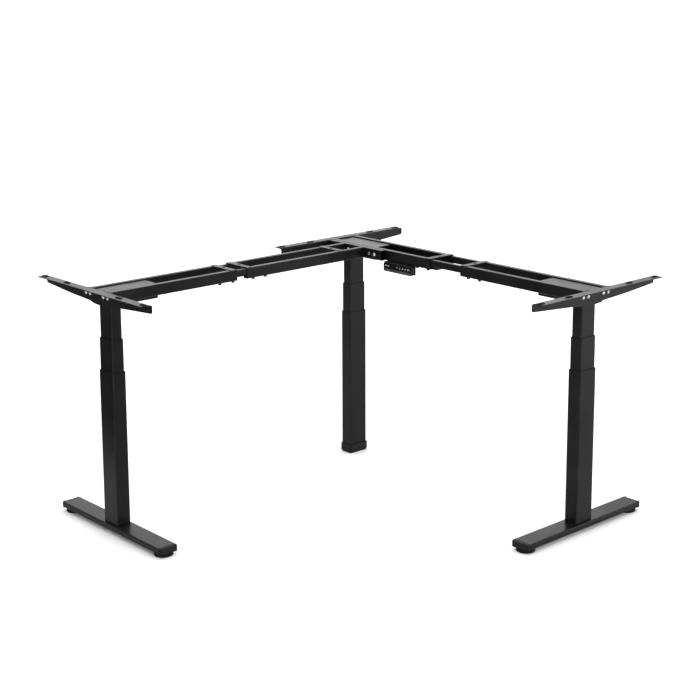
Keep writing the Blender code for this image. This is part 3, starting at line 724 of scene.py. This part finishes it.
for leg, body, axis, inboard in (
    ("corner", "desk_frame", 0, 1.0), ("right", "right_end", 0, -1.0), ("left", "left_end", 1, 1.0),
):
    node = f"{leg}_motor_housing"
    low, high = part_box(node)
    inner_end = high[axis] if inboard > 0 else low[axis]
    outer_end = low[axis] if inboard > 0 else high[axis]
    if axis == 0:
        high = (high[0], high[1] - COVER_GAP, high[2])
    else:
        low = (low[0] + COVER_GAP, low[1], low[2])
    cover = block(f"{leg}_motor_cover", low, high)
    edit(cover)
    choose(cover, "FACE", lambda corners, normal: normal.z < -0.9)
    bpy.ops.mesh.delete(type="FACE")
    choose(
        cover, "EDGE",
        lambda ends: abs(ends[0].z - ends[1].z) > 0.01 and abs(ends[0][axis] - inner_end) < 0.001,
    )
    bpy.ops.mesh.bevel(offset=COVER_CORNER, segments=6, affect="EDGES")
    choose(cover, "EDGE", lambda ends: all(abs(c.z - high[2]) < 0.0001 for c in ends))
    bpy.ops.mesh.bevel(offset=COVER_BEND, segments=4, affect="EDGES")
    apply(cover, "SOLIDIFY", thickness=COVER_SHEET, offset=-1.0, use_even_offset=True)
    middle = Vector(((low[0] + high[0]) / 2, (low[1] + high[1]) / 2, high[2]))
    if leg == "corner":
        middle.x = outer_end + COVER_ARC_DEPTH - COVER_ARC
        cut(cover, hole_cutter(middle, COVER_ARC, COVER_CUT))
    else:
        middle[axis] = outer_end + inboard * COVER_HOLE_INSET
        middle[1 - axis] += COVER_HOLE_OFFSETS[axis]
        cut(cover, hole_cutter(middle, COVER_HOLE, COVER_CUT))
    soften(cover, 0.0003, 1, 50.0)
    fit(cover, body, black_coat, "black_powder_coat", node)

# ---- Side brackets --------------------------------------------------------------------------------
# Three long brackets carry the table top. Each is an angle folded from 3 mm sheet, with a deep tapered
# web against the rails' end plates and a flange with four long holes that hold rubber grommets.

SHEET, FOLD_RADIUS, SHEET_CORNER = 0.003, 0.0035, 0.006
FLANGE_WIDTH, FLANGE_LENGTH, BRACKET_LENGTH = 0.035, 0.600, 0.608
WEB_START = 0.003
WEB_DEPTHS = (  # (distance from the tab end, depth below the top)
    (WEB_START, 0.0235), (0.143, 0.0350), (0.264, 0.0410), (0.278, 0.0452), (0.292, 0.0470),
    (0.328, 0.0485), (0.348, 0.0475), (0.412, 0.0395), (FLANGE_LENGTH, 0.0255), (BRACKET_LENGTH, 0.0250),
)
SLOT_PLACES = (0.019, 0.155, 0.455, 0.588)
SLOT_LENGTH, SLOT_WIDTH = 0.024, 0.010
FIRST_FOLD = 0.010  # depth of the web before its lower edge is drawn down
GROMMET_RING, GROMMET_BEAD, GROMMET_FLATTENED, GROMMET_STRETCH = 0.0052, 0.0030, 0.85, 0.0075

deselect()
bpy.ops.mesh.primitive_plane_add(size=1.0, location=(BRACKET_LENGTH / 2, FLANGE_WIDTH / 2, 0.0))
bracket_model = bpy.context.object
bracket_model.name = "bracket_model"
bracket_model.scale = (BRACKET_LENGTH, FLANGE_WIDTH, 1.0)
bpy.ops.object.transform_apply(location=True, rotation=True, scale=True)
edit(bracket_model)
choose(bracket_model, "EDGE", lambda ends: all(abs(c.y) < 0.0001 for c in ends))
bpy.ops.mesh.extrude_region_move(TRANSFORM_OT_translate={"value": (0.0, 0.0, -FIRST_FOLD)})
for u, depth in WEB_DEPTHS[:-1]:
    bpy.ops.mesh.select_all(action="SELECT")
    bpy.ops.mesh.bisect(plane_co=(u, 0.0, 0.0), plane_no=(1.0, 0.0, 0.0))
for u, depth in WEB_DEPTHS:
    choose(bracket_model, "VERT", lambda corners: abs(corners[0].x - u) < 0.0001 and corners[0].z < -0.005)
    bpy.ops.transform.translate(value=(0.0, 0.0, FIRST_FOLD - depth))
choose(
    bracket_model, "FACE",
    lambda corners, normal: (
        (abs(normal.z) > 0.9 and min(c.x for c in corners) > FLANGE_LENGTH - 0.0001)
        or (abs(normal.z) < 0.1 and max(c.x for c in corners) < WEB_START + 0.0001)
    ),
)
bpy.ops.mesh.delete(type="FACE")
choose(
    bracket_model, "EDGE",
    lambda ends: all(abs(c.y) < 0.0001 and abs(c.z) < 0.0001 for c in ends)
    and min(c.x for c in ends) > WEB_START - 0.0001 and max(c.x for c in ends) < FLANGE_LENGTH + 0.0001,
)
bpy.ops.mesh.bevel(offset=FOLD_RADIUS, segments=5, affect="EDGES")
choose(
    bracket_model, "VERT",
    lambda corners: abs(corners[0].y - FLANGE_WIDTH) < 0.0001
    and (abs(corners[0].x) < 0.0001 or abs(corners[0].x - FLANGE_LENGTH) < 0.0001),
)
bpy.ops.mesh.bevel(offset=SHEET_CORNER, segments=6, affect="VERTICES")
choose(bracket_model, "VERT", lambda corners: abs(corners[0].x - BRACKET_LENGTH) < 0.0001)
bpy.ops.mesh.bevel(offset=SHEET_CORNER, segments=6, affect="VERTICES")
bpy.ops.mesh.select_all(action="SELECT")
bpy.ops.mesh.normals_make_consistent(inside=False)
apply(bracket_model, "SOLIDIFY", thickness=SHEET, offset=0.0, use_even_offset=True)
edit(bracket_model)
bpy.ops.mesh.normals_make_consistent(inside=False)
deselect()


def grommet_shape():
    """A rubber grommet: an oval ring pressed into a long hole, with a lip above and below the sheet."""
    deselect()
    bpy.ops.mesh.primitive_torus_add(
        major_segments=40, minor_segments=12, major_radius=GROMMET_RING, minor_radius=GROMMET_BEAD
    )
    made = bpy.context.object
    made.name = "grommet_model"
    made.scale = (1.0, 1.0, GROMMET_FLATTENED)
    bpy.ops.object.transform_apply(location=True, rotation=True, scale=True)
    edit(made)
    for sign in (1.0, -1.0):
        choose(made, "VERT", lambda corners: sign * corners[0].x > 0.00001)
        bpy.ops.transform.translate(value=(sign * GROMMET_STRETCH, 0.0, 0.0))
    deselect()
    return made


grommet_model = grommet_shape()
brackets = {}
for leg, body, forward, outward in (
    ("right", "right_end", (0.0, -1.0), (1.0, 0.0)),
    ("left", "left_end", (1.0, 0.0), (0.0, -1.0)),
    ("corner", "desk_frame", (0.0, 1.0), (-1.0, 0.0)),
):
    node = f"{leg}_side_bracket"
    low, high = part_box(node)
    forward, outward = Vector((*forward, 0.0)), Vector((*outward, 0.0))
    corner = Vector([
        low[i] if (forward + outward)[i] > 0 else high[i] for i in (0, 1)
    ] + [high[2]])
    place = Matrix.Identity(4)
    for row in range(3):
        place[row][0], place[row][1] = forward[row], outward[row]
        place[row][3] = corner[row]
    place[2][2] = 1.0
    bracket = copy_at(bracket_model, f"{leg}_bracket_angle", (0.0, 0.0, 0.0))
    sheet_middle = Matrix.Translation((0.0, SHEET / 2, -SHEET / 2))
    bracket.data.transform(place @ sheet_middle)
    edit(bracket)
    bpy.ops.mesh.normals_make_consistent(inside=False)
    deselect()
    brackets[leg] = (place, forward, outward)
    slot_axis = 0 if abs(forward.x) > 0.5 else 1
    for index, u in enumerate(SLOT_PLACES):
        middle = place @ Vector((u, (FLANGE_WIDTH + SHEET) / 2, -SHEET / 2))
        deselect()
        cutter = hole_cutter((0.0, 0.0, 0.0), SLOT_WIDTH / 2, 0.008)
        bpy.ops.object.transform_apply(location=True, rotation=True, scale=True)
        edit(cutter)
        pull = Vector((0.0, 0.0, 0.0))
        pull[slot_axis] = (SLOT_LENGTH - SLOT_WIDTH) / 2
        for sign in (1.0, -1.0):
            choose(cutter, "VERT", lambda corners: sign * corners[0][slot_axis] > -0.00001 * sign)
            bpy.ops.transform.translate(value=pull * sign)
        deselect()
        cutter.data.transform(Matrix.Translation(middle))
        cut(bracket, cutter)
        spin = 0.0 if slot_axis == 0 else math.pi / 2
        on_top = middle + Vector((0.0, 0.0, SHEET / 2 - 0.0003))
        grommet = copy_at(grommet_model, f"{leg}_grommet_{index}", on_top, spin=spin)
        fit(grommet, body, rubber_finish, "black_rubber")
    soften(bracket, SHEET_EDGE, 2, 50.0)
    fit(bracket, body, black_coat, "black_powder_coat", node)
retire(bracket_model, grommet_model)

# ---- Bolts and set screws -------------------------------------------------------------------------
# Bright zinc-plated button-head bolts hold the brackets to the rails' end plates and the return wing to
# the main one, where one place has an open threaded ring instead. Small black hexagon-head screws under
# the rails lock the wings at their length.

BOLT_SPREAD = (-0.068, -0.044, 0.032, 0.056)  # along the bracket, from the leg's middle
BOLT_DROP, LEFT_BOLT_SHIFT = 0.0185, -0.006
CROSS_BOLT_PLACES = (0.015, 0.059, 0.170, 0.199)
HEX_RECESS, HEX_DEPTH = 0.0023, 0.0036
SET_SCREW, SET_SCREW_HEAD, SET_SCREW_MIDDLE = 0.0056, 0.0045, 0.0040
SET_SCREW_PLACES = (  # (body, axis of the beam, its middle, places along it)
    ("desk_frame", 0, 0.0, (0.389, 0.442)),
    ("right_end", 0, 0.0, (0.635, 0.687)),
    ("desk_frame", 1, return_middle, (-0.585, -0.532)),
    ("left_end", 1, return_middle, (-0.727, -0.672)),
)

bolt_model = turned(
    "bolt_model",
    (
        (0.0, 0.0036), (0.0026, 0.0036), (0.0036, 0.0034), (0.0049, 0.0027), (0.0058, 0.0014),
        (0.0061, 0.0002), (0.0061, -0.0005), (0.0, -0.0005),
    ),
    40,
)
deselect()
bpy.ops.mesh.primitive_cylinder_add(
    vertices=6, radius=HEX_RECESS, depth=HEX_DEPTH, location=(0.0, 0.0, HEX_DEPTH)
)
cut(bolt_model, bpy.context.object)

nut_ring_model = turned(
    "nut_ring_model",
    (
        (0.0030, -0.0015), (0.0030, 0.0005), (0.0034, 0.0009), (0.0047, 0.0008), (0.0052, 0.0002),
        (0.0052, -0.0015), (0.0030, -0.0015),
    ),
    40,
)

deselect()
bpy.ops.mesh.primitive_cylinder_add(
    vertices=6, radius=SET_SCREW, depth=SET_SCREW_HEAD, location=(0.0, 0.0, SET_SCREW_MIDDLE)
)
set_screw_model = bpy.context.object
set_screw_model.name = "set_screw_model"
bpy.ops.object.transform_apply(location=True, rotation=True, scale=True)
soften(set_screw_model, 0.0008, 3)
washer = turned(
    "washer", ((0.0, 0.0018), (0.0062, 0.0018), (0.0067, 0.0012), (0.0067, -0.0004), (0.0, -0.0004)), 32
)
join(set_screw_model, washer)

for leg, body in (("right", "right_end"), ("left", "left_end"), ("corner", "desk_frame")):
    place, forward, outward = brackets[leg]
    across_axis = 0 if abs(forward.x) > 0.5 else 1
    leg_low, leg_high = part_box(f"{leg}_outer_tube")
    leg_middle = (leg_low[across_axis] + leg_high[across_axis]) / 2
    face = place @ Vector((0.0, SHEET, -BOLT_DROP))
    for index, spread in enumerate(BOLT_SPREAD):
        spot = face.copy()
        spot[across_axis] = leg_middle + spread + (LEFT_BOLT_SHIFT if leg == "left" else 0.0)
        bolt = copy_at(bolt_model, f"{leg}_bracket_bolt_{index}", spot, outward)
        fit(bolt, body, zinc, "zinc_steel")
cross_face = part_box("return_rail_frame")[1][1] - RAIL_WIDTH
for index, x in enumerate(CROSS_BOLT_PLACES):
    spot = (x, cross_face, rail_top - BOLT_DROP)
    model = nut_ring_model if index == 2 else bolt_model
    bolt = copy_at(model, f"cross_tube_bolt_{index}", spot, (0.0, -1.0, 0.0))
    fit(bolt, "desk_frame", zinc, "zinc_steel")
rail_bottom = rail_top - RAIL_DEPTH
rail_middle = BEAM_HALF_WIDTH - RAIL_WIDTH / 2
for body, axis, middle, places in SET_SCREW_PLACES:
    for index, along_beam in enumerate(places):
        for side, across in (("near", -rail_middle), ("far", rail_middle)):
            spot = (along_beam, middle + across, rail_bottom)
            if axis == 1:
                spot = (middle - across, along_beam, rail_bottom)
            name = f"{body}_{'main' if axis == 0 else 'return'}_{side}_set_screw_{index}"
            screw = copy_at(set_screw_model, name, spot, (0.0, 0.0, -1.0))
            fit(screw, body, black_coat, "black_powder_coat")
retire(bolt_model, nut_ring_model, set_screw_model)

# ---- Control box ----------------------------------------------------------------------------------
# A slim moulded box on the inside of the far rail holds the power supply. It is two half shells with a
# shallow joint line between them, and its underside has a row of cooling slots.

VENTS, VENT_PITCH = 14, 0.009
VENT_WIDTH, VENT_LENGTH, VENT_DEPTH = 0.003, 0.022, 0.0012
BOX_CORNER, BOX_EDGE, JOINT_HALF_WIDTH, JOINT_DEPTH = 0.005, 0.0008, 0.0004, 0.0006
low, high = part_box("control_box")
box_centre = Vector([(low[i] + high[i]) / 2 for i in range(3)])
control = block("control_box_shell", low, high)
round_along(control, 2, BOX_CORNER, 5)
for rise in (-JOINT_HALF_WIDTH, JOINT_HALF_WIDTH):
    bpy.ops.mesh.select_all(action="SELECT")
    bpy.ops.mesh.bisect(plane_co=box_centre + Vector((0.0, 0.0, rise)), plane_no=(0.0, 0.0, 1.0))
choose(
    control, "FACE",
    lambda corners, normal: abs(normal.z) < 0.1 and max(abs(c.z - box_centre.z) for c in corners) < 0.0005,
)
bpy.ops.mesh.extrude_region_shrink_fatten(TRANSFORM_OT_shrink_fatten={"value": -JOINT_DEPTH})
soften(control, BOX_EDGE, 2, 50.0)
for index in range(VENTS):
    x = box_centre.x + (index - (VENTS - 1) / 2) * VENT_PITCH
    vent_low = (x - VENT_WIDTH / 2, box_centre.y - VENT_LENGTH / 2, low[2] - 0.002)
    vent_high = (x + VENT_WIDTH / 2, box_centre.y + VENT_LENGTH / 2, low[2] + VENT_DEPTH)
    cut(control, block("vent", vent_low, vent_high))
fit(control, "desk_frame", black_moulding, "black_plastic", "control_box")

# ---- Handset --------------------------------------------------------------------------------------
# A slim moulded handset hangs under the near rail. It has a glossy key panel set into its face, and
# below that a ribbed grey strip with four slanting stripes.

KEY_GAP, KEY_CORNER = 0.0004, 0.0016
FIRST_STRIPE, STRIPE_PITCH, STRIPE_WIDTH, STRIPE_SLANT = -0.0310, 0.0084, 0.0038, 0.0046
ARROW_RISE, ARROW_HALF_WIDTH, ARROW_HALF_STROKE = 0.0030, 0.0037, 0.0009
SHELL_CORNER, BROW, RECESS_GAP = 0.0040, 0.0022, 0.0003
STRIP_MARGIN, STRIP_BELOW_PANEL, STRIP_GAP, STRIP_CORNER = 0.0022, 0.0016, 0.0002, 0.0010
STRIPES, STRIPE_MARGIN = 4, 0.0006
LETTER_HEIGHT, LETTER_RELIEF = 0.0058, 0.0001
low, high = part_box("handset_housing")
panel_low, panel_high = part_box("handset_panel")
front = low[1]
housing = block("handset_shell", low, high)
round_along(housing, 1, SHELL_CORNER, 2)
choose(
    housing, "EDGE",
    lambda ends: all(abs(c.y - front) < 0.0001 for c in ends) and min(c.z for c in ends) > panel_high[2],
)
bpy.ops.mesh.bevel(offset=BROW, segments=1, affect="EDGES")
deselect()
cut(
    housing,
    block(
        "panel_recess", Vector(panel_low) - Vector((RECESS_GAP, 0.01, RECESS_GAP)),
        Vector(panel_high) + Vector((RECESS_GAP, 0.003, RECESS_GAP)),
    ),
)
strip_low_z, strip_high_z = low[2] + STRIP_MARGIN, panel_low[2] - STRIP_BELOW_PANEL
strip_sides = (low[0] + STRIP_MARGIN, high[0] - STRIP_MARGIN)
cut(
    housing,
    block(
        "strip_recess", (strip_sides[0] - STRIP_GAP, front - 0.01, strip_low_z - STRIP_GAP),
        (strip_sides[1] + STRIP_GAP, front + 0.0010, strip_high_z + STRIP_GAP),
    ),
)
soften(housing, 0.0004, 2, 30.0)
fit(housing, "desk_frame", black_moulding, "black_plastic", "handset_housing")


def polished_panel():
    """Polished black plastic with faint hairline wipe marks and smudges in its gloss."""
    gloss = Finish("polished_panel", {"Metallic": 0.0, "Specular IOR Level": 0.5, "Coat Roughness": 0.04})
    smudge = gloss.noise(120.0, 5.0).between(0.50, 0.75)
    wipes = gloss.noise(700.0, 2.0, (0.08, 1.0, 1.0)).between(0.62, 0.78)
    gloss.put("Base Color", gloss.mix(smudge, (0.0060, 0.0062, 0.0070, 1.0), (0.0095, 0.0096, 0.0102, 1.0)))
    gloss.put("Roughness", 0.10 + smudge * 0.07 + wipes * 0.05)
    gloss.put("Coat Weight", 0.6 - smudge * 0.2)
    gloss.relief(wipes, 0.00001, 0.2)
    return gloss.material


def ribbed_strip():
    """Mid-grey plastic with very fine ribs along the strip, with painted shade in the rib hollows, a painted
    highlight on the crests, and a random grain.
    """
    ribs = Finish("ribbed_grey_strip", {"Metallic": 0.0, "Specular IOR Level": 0.4})
    height = ribs.node("SeparateXYZ", {}, {"Vector": ribs.node("TexCoord", {}, {}, "Object")}, "Z")
    wave = (height * (2 * math.pi / 0.0007)).math("SINE")
    grain = ribs.noise(1800.0, 3.0)
    # The colour follows the ribs, with painted highlight on the crests and painted shade in the hollows,
    # mixed with a random grain.
    rib_shading_and_grain = (wave * 0.5 + 0.5) * 0.6 + grain * 0.4
    paint = ribs.mix(rib_shading_and_grain, (0.020, 0.020, 0.021, 1.0), (0.043, 0.043, 0.045, 1.0))
    ribs.put("Base Color", paint)
    ribs.put("Roughness", 0.45 + grain * 0.12)
    ribs.relief(wave * 0.5 + grain * 0.3, 0.00012, 0.7)
    return ribs.material


def white_print():
    """Slightly uneven white ink."""
    ink = Finish("white_print", {"Metallic": 0.0})
    patches = ink.noise(2200.0, 3.0).between(0.40, 0.75)
    ink.put("Base Color", ink.mix(patches, (0.86, 0.87, 0.88, 1.0), (0.72, 0.73, 0.74, 1.0)))
    ink.put("Roughness", 0.42 + patches * 0.12)
    return ink.material


gloss_black, strip_grey, print_white = polished_panel(), ribbed_strip(), white_print()

keys = ("key_up", "key_down", "key_1", "key_2", "key_3", "key_4", "key_memory")
panel = block("handset_key_panel", panel_low, panel_high)
for key in keys:
    key_low, key_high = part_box("handset_" + key)
    gap = Vector((KEY_GAP, 0.01, KEY_GAP))
    hole = block("key_hole", Vector(key_low) - gap, Vector(key_high) + gap)
    round_along(hole, 1, KEY_CORNER + KEY_GAP, 5)
    deselect()
    cut(panel, hole)
soften(panel, 0.0002, 2, 50.0)
fit(panel, "desk_frame", gloss_black, "gloss_black", "handset_panel")

strip = block(
    "handset_ribbed_strip", (strip_sides[0], front + 0.0003, strip_low_z),
    (strip_sides[1], front + 0.0009, strip_high_z),
)
round_along(strip, 1, STRIP_CORNER, 3)
soften(strip, 0.00015, 1, 50.0)
fit(strip, "desk_frame", strip_grey, "black_plastic")

stripe_top, stripe_bottom = strip_high_z - STRIPE_MARGIN, strip_low_z + STRIPE_MARGIN
for index in range(STRIPES):
    x = (low[0] + high[0]) / 2 + FIRST_STRIPE + index * STRIPE_PITCH
    stripe = block(
        f"handset_stripe_{index}", (x - STRIPE_WIDTH / 2, front + 0.0001, stripe_bottom),
        (x + STRIPE_WIDTH / 2, front + 0.0005, stripe_top),
    )
    edit(stripe)
    choose(stripe, "VERT", lambda corners: corners[0].z > (stripe_top + stripe_bottom) / 2)
    bpy.ops.transform.translate(value=(-STRIPE_SLANT, 0.0, 0.0))
    soften(stripe, 0.0001, 1, 50.0)
    fit(stripe, "desk_frame", gloss_black, "gloss_black")


def lettering(name, text, height):
    """A raised letter or figure from the built-in typeface, upright at the origin and facing -Y."""
    deselect()
    bpy.ops.object.text_add(rotation=(math.pi / 2, 0.0, 0.0))
    made = bpy.context.object
    made.data.body, made.data.extrude = text, 0.0003
    made.data.align_x, made.data.align_y = "CENTER", "CENTER"
    bpy.ops.object.convert(target="MESH")
    made = bpy.context.object
    made.name = made.data.name = name
    bpy.ops.object.transform_apply(location=True, rotation=True, scale=True)
    edit(made)
    bpy.ops.mesh.remove_doubles(threshold=0.00001)
    bpy.ops.mesh.normals_make_consistent(inside=False)
    deselect()
    corners = [vertex.co for vertex in made.data.vertices]
    lowest, highest = (Vector([pick(c[i] for c in corners) for i in range(3)]) for pick in (min, max))
    size = height / (highest.z - lowest.z)
    flat = Matrix.Diagonal((size, LETTER_RELIEF / (highest.y - lowest.y), size, 1.0))
    made.data.transform(flat @ Matrix.Translation(-(lowest + highest) / 2))
    return made


def chevron(name, rise):
    """A raised arrow of two slanting strokes, pointing up for a positive rise."""
    corner = Vector((ARROW_HALF_WIDTH, LETTER_RELIEF / 2, ARROW_HALF_STROKE))
    made = block(name, -corner, corner)
    edit(made)
    bpy.ops.mesh.bisect(plane_co=(0.0, 0.0, 0.0), plane_no=(1.0, 0.0, 0.0))
    bpy.ops.mesh.select_all(action="SELECT")
    bpy.ops.transform.translate(value=(0.0, 0.0, -rise / 2))
    choose(made, "VERT", lambda corners: abs(corners[0].x) < 0.001)
    bpy.ops.transform.translate(value=(0.0, 0.0, rise))
    deselect()
    return made


for key in keys:
    node = "handset_" + key
    key_low, key_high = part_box(node)
    cap = block(f"{node}_cap", key_low, key_high)
    round_along(cap, 1, KEY_CORNER, 5)
    soften(cap, 0.00035, 3, 50.0)
    fit(cap, key, gloss_black, "gloss_black", node)
    if key in ("key_up", "key_down"):
        mark = chevron(f"{node}_mark", ARROW_RISE if key == "key_up" else -ARROW_RISE)
    else:
        mark = lettering(f"{node}_mark", "M" if key == "key_memory" else key[-1], LETTER_HEIGHT)
    centre = [(key_low[i] + key_high[i]) / 2 for i in range(3)]
    mark.data.transform(Matrix.Translation((centre[0], key_low[1] - 0.00004, centre[2])))
    fit(mark, key, print_white, "gloss_black")
